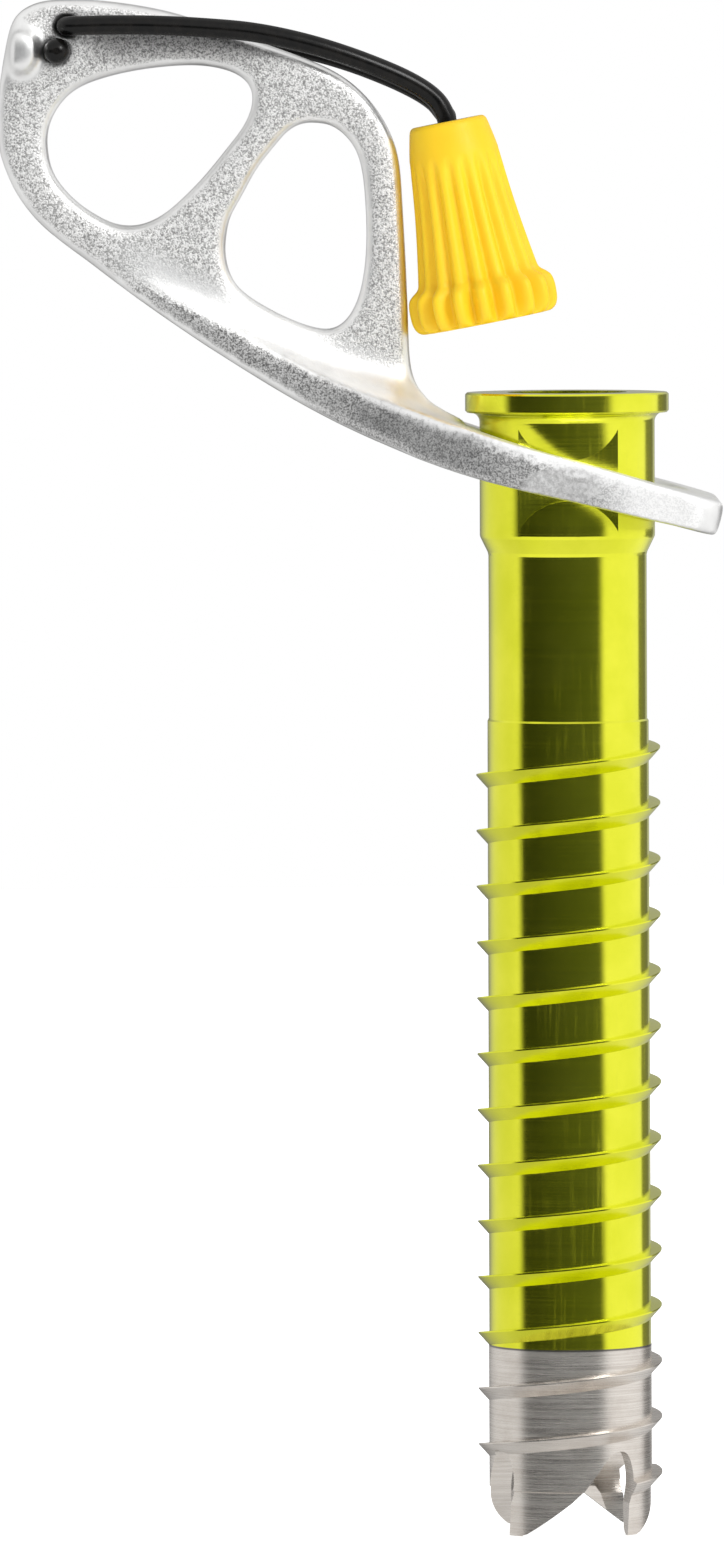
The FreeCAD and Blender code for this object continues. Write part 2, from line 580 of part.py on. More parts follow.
# ---------------------------------------------------------------- knob, its sleeve and its clip
# local frame: z runs down the knob from the middle of its top
turn = FreeCAD.Rotation(V(0, 0, 1), K_DIR)
spot = FreeCAD.Placement(K_TOP, turn)

shaft = new_body("sleeve_blank")
sk = body_sketch(shaft, "SleeveProfile", "XZ_Plane")
polygon(sk, [
    ("0.0", "0.0"), ("sleeve_flange_rad", "0.0"), ("sleeve_flange_rad", "sleeve_flange_thick"),
    ("sleeve_rad", "sleeve_flange_thick"), ("sleeve_rad", "sleeve_long"), ("0.0", "sleeve_long"),
])
revolve(shaft, sk, "SleeveTurned")
shaft.Placement = spot
socket_axis = turn.multVec(V(0, 0, 1))
entry = V(K_TOP.x, -inn, K_TOP.z) - socket_axis * 0.5
socket = doc.addObject("Part::Cylinder", "wire_socket")
bind(socket, "Radius", "wire_rad + 0.01")
bind(socket, "Height", "socket_deep + 0.5")
socket.Placement = FreeCAD.Placement(entry, turn)
sleeve = cut("knob_sleeve", shaft, socket)
sleeve.Label = "knob_sleeve"

grip = new_body("knob_blank")
sk = body_sketch(grip, "KnobProfile", "XZ_Plane")
polygon(sk, [
    ("sleeve_flange_rad + run_gap", "0.0"), ("knob_top", "0.0"), ("collar_rad", "collar_long"),
    ("knob_waist", "waist_at"), ("skirt_rad", "skirt_at"), ("skirt_rad", "knob_long"),
    ("recess_rad", "knob_long"), ("recess_rad", "recess_at"),
    ("sleeve_rad + run_gap", "recess_at"),
    ("sleeve_rad + run_gap", "sleeve_flange_thick + end_gap"),
    ("sleeve_flange_rad + run_gap", "sleeve_flange_thick + end_gap"),
])
rev = revolve(grip, sk, "KnobTurned")
lip = grip.newObject("PartDesign::Fillet", "KnobTopEdge")
lip.Base = (rev, edge_names(rev.Shape, circle_at(0.0, D["knob_top"])))
lip.Radius = 0.45
doc.recompute()
base_edge = grip.newObject("PartDesign::Fillet", "KnobSkirtEdge")
base_edge.Base = (lip, edge_names(lip.Shape, circle_at(D["knob_long"], D["skirt_rad"]))
                  + edge_names(lip.Shape, circle_at(D["skirt_at"], D["skirt_rad"]))
                  + edge_names(lip.Shape, circle_at(D["waist_at"], D["knob_waist"])))
bind(base_edge, "Radius", "knob_round")
doc.recompute()


def flute(name, angle):
    """A round-bottomed groove that follows the knob's side from the collar to the skirt's end"""
    out = D["flute_out"]
    path = [(D["collar_rad"] + out + 0.7, 0, D["collar_long"] - 2.2),
            (D["collar_rad"] + out + 0.1, 0, D["collar_long"] + 1.2),
            (D["knob_waist"] + out, 0, D["waist_at"] - 0.3),
            (D["skirt_rad"] + out + 0.05, 0, D["skirt_at"] - 0.3), (D["skirt_rad"] + out + 0.05, 0, D["knob_long"] + 1.5)]
    tool = pipe(rounded_path(path, [6, 2.4, 2.4]), D["flute_rad"])
    tool.rotate(V(0, 0, 0), V(0, 0, 1), angle)
    return tool


count = int(D["rib_count"])
flutes = feature("knob_flutes", Part.makeCompound([flute("flute", 360.0 * k / count) for k in range(count)]))
knob = cut("knob", grip, flutes)
knob.Label = "knob"
knob.Placement = spot

washer = new_body("knob_clip")
sk = body_sketch(washer, "ClipProfile", "XZ_Plane")
polygon(sk, [
    ("sleeve_rad", "recess_at + end_gap"), ("clip_rad", "recess_at + end_gap"),
    ("clip_rad", "recess_at + end_gap + clip_thick"), ("sleeve_rad", "recess_at + end_gap + clip_thick"),
])
revolve(washer, sk, "ClipTurned")
washer.Placement = spot
doc.recompute()

# ---------------------------------------------------------------- check and write
NODES = {"tube": tube, "cutting_tip": tip, "hanger": hanger, "front_crank_wire": front_wire,
         "back_crank_wire": back_wire, "knob_sleeve": sleeve, "knob": knob, "knob_clip": washer}

bad = [o.Name for o in doc.Objects if "Invalid" in o.State or "Error" in o.State]
for name, obj in NODES.items():
    s = obj.Shape
    if s.isNull() or not s.isValid() or len(s.Solids) != 1:
        bad.append("%s: null %s valid %s solids %d" % (name, s.isNull(), s.isNull() or s.isValid(), 0 if s.isNull() else len(s.Solids)))
    else:
        b = s.BoundBox
        print("%-18s volume %9.2f  box %7.2f %7.2f %7.2f  %7.2f %7.2f %7.2f" % (
            name, s.Volume, b.XMin, b.YMin, b.ZMin, b.XMax, b.YMax, b.ZMax))
if bad:
    raise RuntimeError("failed: %s" % bad)

os.makedirs("parts", exist_ok=True)
for name, obj in NODES.items():
    obj.Shape.exportStep("parts/%s.step" % name)
print("written", len(NODES))
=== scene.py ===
import bpy
import bmesh
import math
from mathutils import Vector, Matrix, Quaternion


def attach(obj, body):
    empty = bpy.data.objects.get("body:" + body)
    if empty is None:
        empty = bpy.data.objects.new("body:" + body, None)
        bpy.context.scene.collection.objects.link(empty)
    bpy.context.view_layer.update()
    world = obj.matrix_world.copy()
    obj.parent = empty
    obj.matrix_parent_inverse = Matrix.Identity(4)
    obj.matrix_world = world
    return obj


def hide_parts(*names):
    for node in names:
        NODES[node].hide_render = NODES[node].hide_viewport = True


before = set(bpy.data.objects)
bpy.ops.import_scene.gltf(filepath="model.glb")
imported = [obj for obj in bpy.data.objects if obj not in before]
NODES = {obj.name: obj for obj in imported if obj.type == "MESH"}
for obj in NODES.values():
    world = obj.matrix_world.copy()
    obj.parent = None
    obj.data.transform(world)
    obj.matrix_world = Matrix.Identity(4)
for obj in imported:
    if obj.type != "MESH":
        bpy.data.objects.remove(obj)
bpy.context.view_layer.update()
scene = bpy.context.scene
mm = 0.001
SEAM = -92.67  # where the tip meets the tube, mm


# ------------------------------------------------------------------ camera
def make_camera():
    cam = bpy.data.cameras.new("camera")
    cam.sensor_width = 36.0
    cam.sensor_fit = "AUTO"
    cam.clip_start = 0.05
    cam.clip_end = 50
    cam.dof.use_dof = False
    aim = Vector((-22.06, 0.0, -31.19)) * mm
    eye = Vector((-22.06, -1580.0, 47.4)) * mm
    dist = (eye - aim).length
    cam.lens = 36.0 * dist / 0.16492
    ob = bpy.data.objects.new("camera", cam)
    scene.collection.objects.link(ob)
    q = (aim - eye).to_track_quat("-Z", "Y")
    roll = Quaternion((0, 0, 1), math.radians(-0.243))
    ob.rotation_mode = "QUATERNION"
    ob.rotation_quaternion = q @ roll
    ob.location = eye
    scene.camera = ob
    return ob


make_camera()


# ------------------------------------------------------------------ node helpers
class Tree:
    """Small helper that wires shader nodes"""

    def __init__(self, tree):
        self.t = tree
        self.t.nodes.clear()

    def new(self, kind, **props):
        n = self.t.nodes.new(kind)
        for k, v in props.items():
            setattr(n, k, v)
        return n

    def link(self, a, b):
        self.t.links.new(a, b)

    def val(self, node, name, value):
        node.inputs[name].default_value = value

    def put(self, socket, value):
        if hasattr(value, "links") or hasattr(value, "is_linked"):
            self.link(value, socket)
        else:
            socket.default_value = value

    def math(self, op, a, b=0.0, c=0.0, clamp=False):
        n = self.new("ShaderNodeMath", operation=op, use_clamp=clamp)
        self.put(n.inputs[0], a)
        self.put(n.inputs[1], b)
        self.put(n.inputs[2], c)
        return n.outputs[0]

    def smooth(self, x, lo, hi, out_lo=0.0, out_hi=1.0):
        n = self.new("ShaderNodeMapRange", interpolation_type="SMOOTHSTEP")
        self.put(n.inputs["Value"], x)
        n.inputs["From Min"].default_value = lo
        n.inputs["From Max"].default_value = hi
        n.inputs["To Min"].default_value = out_lo
        n.inputs["To Max"].default_value = out_hi
        return n.outputs["Result"]

    def linear(self, x, lo, hi, out_lo=0.0, out_hi=1.0):
        n = self.new("ShaderNodeMapRange", interpolation_type="LINEAR", clamp=True)
        self.put(n.inputs["Value"], x)
        n.inputs["From Min"].default_value = lo
        n.inputs["From Max"].default_value = hi
        n.inputs["To Min"].default_value = out_lo
        n.inputs["To Max"].default_value = out_hi
        return n.outputs["Result"]

    def mix(self, fac, a, b):
        n = self.new("ShaderNodeMix", data_type="RGBA")
        self.put(n.inputs["Factor"], fac)
        self.put(n.inputs[6], a)
        self.put(n.inputs[7], b)
        return n.outputs[2]

    def noise(self, vec, scale, detail=3.0, rough=0.5, dist=0.0):
        n = self.new("ShaderNodeTexNoise")
        self.link(vec, n.inputs["Vector"])
        n.inputs["Scale"].default_value = scale
        n.inputs["Detail"].default_value = detail
        n.inputs["Roughness"].default_value = rough
        n.inputs["Distortion"].default_value = dist
        return n.outputs["Fac"]

    def coords(self):
        return self.new("ShaderNodeTexCoord").outputs["Object"]

    def scaled(self, vec, sx, sy, sz):
        n = self.new("ShaderNodeMapping")
        self.link(vec, n.inputs["Vector"])
        n.inputs["Scale"].default_value = (sx, sy, sz)
        return n.outputs["Vector"]

    def bump(self, height, strength, distance, normal=None):
        n = self.new("ShaderNodeBump")
        n.inputs["Strength"].default_value = strength
        n.inputs["Distance"].default_value = distance
        self.link(height, n.inputs["Height"])
        if normal is not None:
            self.link(normal, n.inputs["Normal"])
        return n.outputs["Normal"]


def material(name):
    m = bpy.data.materials.new(name)
    m.use_nodes = True
    t = Tree(m.node_tree)
    out = t.new("ShaderNodeOutputMaterial")
    b = t.new("ShaderNodeBsdfPrincipled")
    t.link(b.outputs[0], out.inputs[0])
    return m, t, b


# ------------------------------------------------------------------ materials
def lime_anodised():
    """Polished lime anodising over fine turning marks"""
    m, t, b = material("lime_anodised")
    v = t.coords()
    sep = t.new("ShaderNodeSeparateXYZ")
    t.link(v, sep.inputs[0])
    # fine turning marks: rings along the axis, a little broken round the tube
    rings = t.noise(t.scaled(v, 40, 40, 9000), 1.0, 3, 0.6)
    cloud = t.noise(v, 160, 4, 0.55)
    patch = t.noise(v, 45, 2, 0.5)
    tint = t.mix(t.smooth(cloud, 0.3, 0.75), (0.77, 0.80, 0.040, 1), (0.86, 0.87, 0.060, 1))
    t.link(tint, b.inputs["Base Color"])
    # faint scuffs along the tube, where it has slid in and out of its case
    streak = t.noise(t.scaled(v, 2600, 2600, 90), 1.0, 3, 0.6)
    scuff = t.math("MULTIPLY", t.smooth(streak, 0.50, 0.72), t.smooth(t.noise(v, 75, 3, 0.6), 0.42, 0.68))
    t.link(t.math("SUBTRACT", 1.0, t.math("MULTIPLY", scuff, 0.06)), b.inputs["Metallic"])
    rough = t.math("ADD", t.linear(rings, 0.3, 0.7, 0.10, 0.17), t.linear(patch, 0.3, 0.7, -0.015, 0.03))
    rough = t.math("ADD", rough, t.math("MULTIPLY", scuff, 0.05))
    t.link(rough, b.inputs["Roughness"])
    n = t.bump(rings, 0.06, 0.00004)
    t.link(t.bump(cloud, 0.05, 0.0003, n), b.inputs["Normal"])
    return m


def tip_steel():
    """Warm turned steel, ground on the teeth"""
    m, t, b = material("tip_steel")
    v = t.coords()
    rings = t.noise(t.scaled(v, 90, 90, 9000), 1.0, 4, 0.65)
    stain = t.noise(v, 220, 5, 0.6)
    base = t.mix(t.smooth(rings, 0.3, 0.7), (0.62, 0.57, 0.52, 1), (0.80, 0.755, 0.70, 1))
    col = t.mix(t.smooth(stain, 0.45, 0.8, 0.0, 0.40), base, (0.46, 0.40, 0.35, 1))
    # the seam against the tube
    sp = t.new("ShaderNodeSeparateXYZ")
    t.link(v, sp.inputs[0])
    seam = t.smooth(t.math("ABSOLUTE", t.math("SUBTRACT", sp.outputs[2], SEAM * mm)), 0.10 * mm, 0.30 * mm, 1.0, 0.0)
    col = t.mix(t.math("MULTIPLY", seam, 0.8), col, (0.06, 0.055, 0.05, 1))
    t.link(col, b.inputs["Base Color"])
    b.inputs["Metallic"].default_value = 1.0
    t.link(t.linear(rings, 0.25, 0.75, 0.22, 0.33), b.inputs["Roughness"])
    n = t.bump(rings, 0.25, 0.00005)
    t.link(t.bump(stain, 0.08, 0.0002, n), b.inputs["Normal"])
    return m


def forged_aluminium():
    """Blasted forging: sparkling grain on the flats, edges, blends and ring rubbed smooth and bright"""
    m, t, b = material("forged_aluminium")
    tc = t.new("ShaderNodeTexCoord")
    v = tc.outputs["Object"]
    sn = t.new("ShaderNodeSeparateXYZ")
    t.link(tc.outputs["Normal"], sn.inputs[0])
    sp = t.new("ShaderNodeSeparateXYZ")
    t.link(v, sp.inputs[0])
    x, y, z = sp.outputs
    facing = t.math("ABSOLUTE", sn.outputs[1])
    out = t.math("ABSOLUTE", y)
    wander = t.linear(t.noise(v, 500, 3, 0.6), 0.3, 0.7, -0.05, 0.05)
    flat = t.smooth(t.math("ADD", facing, wander), 0.82, 0.985)
    ring = t.smooth(x, -12.5 * mm, -7.0 * mm)
    # the two forged flanks of the spine, outside the leaf's own faces
    flank = t.math("MULTIPLY", t.smooth(out, 2.35 * mm, 2.9 * mm), t.math("SUBTRACT", 1.0, ring))
    grained = t.math("MULTIPLY", flat, t.math("SUBTRACT", 1.0, t.math("MULTIPLY", ring, 0.75)))
    # the crank's bosses are worn smooth
    worn = t.math("MULTIPLY", t.smooth(out, 2.3 * mm, 2.5 * mm), t.smooth(x, -54.6 * mm, -55.4 * mm))
    grained = t.math("MULTIPLY", grained, t.math("SUBTRACT", 1.0, worn))
    # flattened, dulled spot over the crimp on each side of the ring
    ex = t.math("DIVIDE", t.math("ADD", x, 0.75 * mm), 4.3 * mm)
    ez = t.math("DIVIDE", t.math("ADD", z, 0.3 * mm), 2.0 * mm)
    e2 = t.math("ADD", t.math("MULTIPLY", ex, ex), t.math("MULTIPLY", ez, ez))
    spot = t.math("MULTIPLY", t.smooth(e2, 0.75, 1.15, 1.0, 0.0), t.smooth(out, 14.5 * mm, 15.2 * mm))
    grain = t.noise(v, 5200, 2, 0.65)
    coarse = t.noise(v, 1900, 3, 0.6)
    speck = t.new("ShaderNodeTexVoronoi")
    t.link(v, speck.inputs["Vector"])
    speck.inputs["Scale"].default_value = 2600
    big = t.noise(v, 260, 4, 0.6)
    grit = t.math("ADD", t.math("MULTIPLY", grain, 0.72), t.math("MULTIPLY", coarse, 0.28))
    face = t.mix(t.smooth(grit, 0.36, 0.60), (0.30, 0.297, 0.293, 1), (0.885, 0.88, 0.87, 1))
    # darker copy of the grain: painted shade for the downward-facing flanks of the spine and for the shaded band along
    # the bar
    dark = t.mix(t.smooth(grit, 0.38, 0.60), (0.15, 0.149, 0.147, 1), (0.64, 0.636, 0.63, 1))
    # how far up the spine's flank: 0 along its lower edge, 1 along its upper edge
    xm = t.math("DIVIDE", x, mm)
    top = t.math("ADD", t.math("MULTIPLY", xm, t.math("ADD", t.math("MULTIPLY", xm, 0.002822), -0.296802)), 2.024512)
    rise = t.math("SUBTRACT", t.math("DIVIDE", z, mm), top)
    rise = t.math("ADD", rise, t.linear(coarse, 0.3, 0.7, -0.45, 0.45))
    # painted shade: a darker band along the lower part of the flank, fading out along the bar
    shade = t.math("MULTIPLY", t.smooth(rise, -1.6, -0.5, 1.0, 0.0), t.smooth(x, 0.0 * mm, 8.5 * mm, 1.0, 0.0))
    shade = t.math("MULTIPLY", shade, t.math("MULTIPLY", t.smooth(facing, 0.35, 0.60), t.smooth(out, 3.2 * mm, 4.2 * mm)))
    shade = t.math("MULTIPLY", shade, t.smooth(x, -30.0 * mm, -24.0 * mm))
    blend = t.math("MULTIPLY", t.smooth(rise, 2.0, 5.6, 1.0, 0.0), t.smooth(rise, -0.7, 0.2))
    blend = t.math("MULTIPLY", blend, t.smooth(x, -50.0 * mm, -42.0 * mm))
    grained = t.math("MULTIPLY", grained, t.math("SUBTRACT", 1.0, t.math("MULTIPLY", blend, 0.85)))
    # the flanks take the darker grain as painted shade
    rough_face = t.mix(flank, face, dark)
    smooth_face = t.mix(t.smooth(big, 0.3, 0.75), (0.84, 0.838, 0.83, 1), (0.93, 0.928, 0.92, 1))
    col = t.mix(grained, smooth_face, rough_face)
    # paint the shaded band in the darker grain
    col = t.mix(t.math("MULTIPLY", shade, 0.85), col, dark)
    # painted shade on the leaf under the crank wire where it lies folded, between the wire and the outer hole: the
    # grain darkened there
    painted_wire_shade = t.math("MULTIPLY", t.smooth(z, 43.4 * mm, 46.4 * mm), t.smooth(z, 48.0 * mm, 49.6 * mm, 1.0, 0.0))
    painted_wire_shade = t.math("MULTIPLY", painted_wire_shade, t.math("MULTIPLY", t.smooth(x, -53.0 * mm, -48.0 * mm), t.smooth(x, -37.0 * mm, -24.0 * mm, 1.0, 0.0)))
    painted_wire_shade = t.math("MULTIPLY", painted_wire_shade, grained)
    col = t.mix(t.math("MULTIPLY", painted_wire_shade, 0.78), col, t.mix(t.smooth(grit, 0.38, 0.62), (0.07, 0.07, 0.07, 1), (0.34, 0.335, 0.33, 1)))
    dull = t.mix(t.smooth(coarse, 0.35, 0.65), (0.60, 0.597, 0.59, 1), (0.80, 0.796, 0.79, 1))
    col = t.mix(t.math("MULTIPLY", spot, 0.75), col, dull)
    t.link(col, b.inputs["Base Color"])
    # the ring's blasted faces scatter light, where the rest reflects
    matte = t.math("MULTIPLY", t.math("MULTIPLY", ring, flat), t.math("SUBTRACT", 1.0, shade))
    scatter = t.math("ADD", t.math("MULTIPLY", matte, 0.40), t.math("MULTIPLY", grained, 0.12))
    scatter = t.math("MAXIMUM", scatter, t.math("MULTIPLY", blend, 0.36))
    t.link(t.math("SUBTRACT", 1.0, scatter, clamp=True), b.inputs["Metallic"])
    r0 = t.linear(grain, 0.3, 0.7, 0.46, 0.62)
    r1 = t.linear(big, 0.3, 0.7, 0.33, 0.43)
    ringface = t.math("MULTIPLY", ring, flat)
    mixr = t.new("ShaderNodeMix", data_type="FLOAT")
    t.put(mixr.inputs["Factor"], t.math("MAXIMUM", grained, ringface))
    t.put(mixr.inputs[2], r1)
    t.put(mixr.inputs[3], r0)
    t.link(mixr.outputs[0], b.inputs["Roughness"])
    height = t.math("MULTIPLY", grit, t.linear(grained, 0.0, 1.0, 0.12, 1.0))
    n = t.bump(height, 0.75, 0.00012)
    n = t.bump(t.math("MULTIPLY", speck.outputs["Distance"], grained), 0.25, 0.00005, n)
    t.link(t.bump(big, 0.12, 0.0003, n), b.inputs["Normal"])
    return m


def black_wire():
    m, t, b = material("black_wire")
    v = t.coords()
    cloud = t.noise(v, 900, 3, 0.5)
    t.link(t.mix(t.smooth(cloud, 0.3, 0.8), (0.002, 0.002, 0.002, 1), (0.007, 0.006, 0.005, 1)), b.inputs["Base Color"])
    b.inputs["Specular IOR Level"].default_value = 0.22
    t.link(t.linear(cloud, 0.3, 0.7, 0.20, 0.30), b.inputs["Roughness"])
    t.link(t.bump(cloud, 0.08, 0.00006), b.inputs["Normal"])
    return m


def yellow_plastic():
    m, t, b = material("yellow_plastic")
    v = t.coords()
    fine = t.noise(v, 3200, 3, 0.6)
    cloud = t.noise(v, 130, 3, 0.5)
    t.link(t.mix(t.smooth(cloud, 0.3, 0.7), (0.84, 0.520, 0.012, 1), (0.88, 0.575, 0.016, 1)), b.inputs["Base Color"])
    t.link(t.linear(fine, 0.3, 0.7, 0.42, 0.56), b.inputs["Roughness"])
    b.inputs["Specular IOR Level"].default_value = 0.32
    b.inputs["Subsurface Weight"].default_value = 0.12
    b.inputs["Subsurface Radius"].default_value = (0.004, 0.002, 0.0005)
    b.inputs["Subsurface Scale"].default_value = 0.5
    t.link(t.bump(fine, 0.06, 0.00004), b.inputs["Normal"])
    return m


def plated_steel():
    m, t, b = material("plated_steel")
    v = t.coords()
    fine = t.noise(v, 1800, 3, 0.6)
    t.link(t.mix(t.smooth(fine, 0.3, 0.7), (0.52, 0.52, 0.52, 1), (0.66, 0.66, 0.66, 1)), b.inputs["Base Color"])
    b.inputs["Metallic"].default_value = 1.0
    t.link(t.linear(fine, 0.3, 0.7, 0.24, 0.36), b.inputs["Roughness"])
    t.link(t.bump(fine, 0.1, 0.00004), b.inputs["Normal"])
    return m


MATS = {
    "tube": lime_anodised(), "cutting_tip": tip_steel(), "hanger": forged_aluminium(),
    "wire": black_wire(), "knob": yellow_plastic(), "steel": plated_steel(),
}
for node, key in (("tube", "tube"), ("cutting_tip", "cutting_tip"), ("hanger", "hanger"),
                  ("front_crank_wire", "wire"), ("back_crank_wire", "wire"), ("knob", "knob"),
                  ("knob_sleeve", "steel"), ("knob_clip", "steel")):
    ob = NODES[node]
    ob.data.materials.clear()
    ob.data.materials.append(MATS[key])


# ------------------------------------------------------------------ meshed pieces
def table(points, x):
    if x <= points[0][0]:
        return points[0][1]
    for (x0, y0), (x1, y1) in zip(points, points[1:]):
        if x <= x1:
            return y0 + (y1 - y0) * (x - x0) / (x1 - x0)
    return points[-1][1]


def catmull(points, steps):
    """Smooth run through the given points"""
    out = []
    n = len(points)
    for i in range(n - 1):
        p0 = points[max(i - 1, 0)]
        p1, p2 = points[i], points[i + 1]
        p3 = points[min(i + 2, n - 1)]
        for k in range(steps):
            u = k / steps
            out.append(tuple(0.5 * ((2 * b) + (c - a) * u + (2 * a - 5 * b + 4 * c - d) * u * u
                                    + (3 * b - a - 3 * c + d) * u ** 3)
                             for a, b, c, d in zip(p0, p1, p2, p3)))
    out.append(points[-1])
    return out


def make_object(name, verts, faces, mat, smooth=True):
    me = bpy.data.meshes.new(name)
    me.from_pydata(verts, [], faces)
    me.update()
    ob = bpy.data.objects.new(name, me)
    scene.collection.objects.link(ob)
    me.materials.append(mat)
    if smooth:
        me.shade_smooth()
    return ob


def knob_piece():
    """Moulded grip: smooth collar, eighteen ribs that run down and flare over the skirt"""
    top = Vector((-12.67, 0.0, 38.18))
    down = Vector((4.08, 0.0, -20.98)).normalized()
    q = down.to_track_quat("Z", "Y")
    outer = [(0.0, 3.40), (0.0, 3.62), (0.06, 3.86), (0.26, 4.08), (0.6, 4.22), (1.4, 4.40), (2.6, 4.64),
             (3.8, 4.84), (5.0, 4.98), (7.0, 5.18), (9.5, 5.46), (12.0, 5.80), (14.5, 6.18), (16.2, 6.46),
             (16.85, 6.60), (17.25, 6.86), (17.65, 7.38), (18.15, 7.82), (19.0, 8.02), (20.1, 8.02),
             (20.8, 7.92), (21.35, 7.68), (21.7, 7.30), (21.85, 6.85), (21.85, 6.3)]
    run = catmull(outer, 5)
    hollow = [(21.85, 5.2), (21.8, 4.82), (21.65, 4.7), (19.2, 4.7), (19.05, 4.62), (19.0, 4.4), (19.0, 2.9),
              (18.8, 2.85), (1.1, 2.85), (1.02, 2.95), (1.02, 3.3), (0.95, 3.35), (0.1, 3.35)]
    depth = [(0.0, 0.0), (3.6, 0.0), (5.2, 0.34), (7.5, 0.62), (12.0, 0.74), (16.4, 0.82), (17.3, 1.05),
             (18.2, 1.45), (20.4, 1.45), (21.2, 1.20), (21.6, 0.85), (21.8, 0.35), (21.86, 0.15)]
    ribs, per = 18, 16
    count = ribs * per
    rows = [(z, r, table(depth, z)) for z, r in run] + [(z, r, 0.0) for z, r in hollow]
    verts = []
    for z, r, d in rows:
        for k in range(count):
            a = 2 * math.pi * (k + 0.5) / count
            valley = (0.5 - 0.5 * math.cos(ribs * a)) ** 1.5
            rr = r - d * valley
            p = q @ Vector((rr * math.cos(a), rr * math.sin(a), z))
            verts.append(((top + p) * mm)[:])
    faces = []
    n = len(rows)
    for i in range(n):
        j = (i + 1) % n
        for k in range(count):
            k2 = (k + 1) % count
            faces.append((i * count + k, j * count + k, j * count + k2, i * count + k2))
    ob = make_object("knob_grip", verts, faces, MATS["knob"])
    bm = bmesh.new()
    bm.from_mesh(ob.data)
    bmesh.ops.recalc_face_normals(bm, faces=bm.faces)
    bm.to_mesh(ob.data)
    bm.free()
    ob.data.shade_smooth()
    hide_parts("knob")
    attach(ob, "knob")
    return ob


BAND_UP = [(-51.8, 24.4), (-45.58, 21.96), (-41.31, 19.48), (-38.11, 17.7), (-34.91, 15.92), (-31.71, 14.12),
           (-28.5, 12.43), (-25.3, 10.95), (-22.1, 9.72), (-17.83, 8.25), (-13.55, 6.75), (-9.28, 5.23)]
PLAN = [(-52.5, 1.3), (-47.0, 2.3), (-40.0, 3.15), (-33.0, 4.2), (-26.0, 5.7), (-20.5, 7.9), (-16.5, 10.4),
        (-13.0, 12.9), (-9.5, 14.9)]
BLEND = [(-46.5, 0.5), (-41.0, 1.6), (-36.0, 2.9), (-31.0, 3.3), (-25.0, 4.0), (-18.0, 4.0), (-16.3, 2.6),
         (-14.6, 1.15), (-13.0, 0.7), (-11.4, 0.45)]


def blend_wedges():
    """Concave forging blend between the leaf's faces and the top of the spine, both sides"""
    verts, faces = [], []
    steps, arc = 150, 10
    for side in (-1, 1):
        base = len(verts)
        ring = arc + 4
        for i in range(steps + 1):
            x = -46.5 + (46.5 - 11.4) * i / steps
            zu, h, w = table(BAND_UP, x), table(BLEND, x), table(PLAN, x)
            wide = max(0.06, min(w - 2.25 - 0.1, 2.0 * h))
            sec = [(1.2, zu - 0.5), (1.2, zu + h)]
            for k in range(arc + 1):
                a = 0.5 * math.pi * k / arc
                sec.append((2.25 + wide - wide * math.cos(a), zu + h - h * math.sin(a)))
            sec.append((2.25 + wide, zu - 0.5))
            for y, z in sec:
                verts.append((x * mm, side * y * mm, z * mm))
        for i in range(steps):
            for k in range(ring):
                k2 = (k + 1) % ring
                q = (base + i * ring + k, base + i * ring + k2, base + (i + 1) * ring + k2, base + (i + 1) * ring + k)
                faces.append(q if side < 0 else q[::-1])
        for i in (0, steps):
            cap = tuple(base + i * ring + k for k in range(ring))
            faces.append(cap)
    return verts, faces


def relax(co, edges, weight, rounds, rate=0.5):
    import numpy as np
    deg = np.bincount(edges.ravel(), minlength=len(co)).astype(float)
    deg[deg == 0] = 1
    for _ in range(rounds):
        acc = np.zeros_like(co)
        for c in range(3):
            acc[:, c] = (np.bincount(edges[:, 0], co[edges[:, 1], c], len(co))
                         + np.bincount(edges[:, 1], co[edges[:, 0], c], len(co)))
        mean = acc / deg[:, None]
        co = co + (mean - co) * (rate * weight)[:, None]
    return co


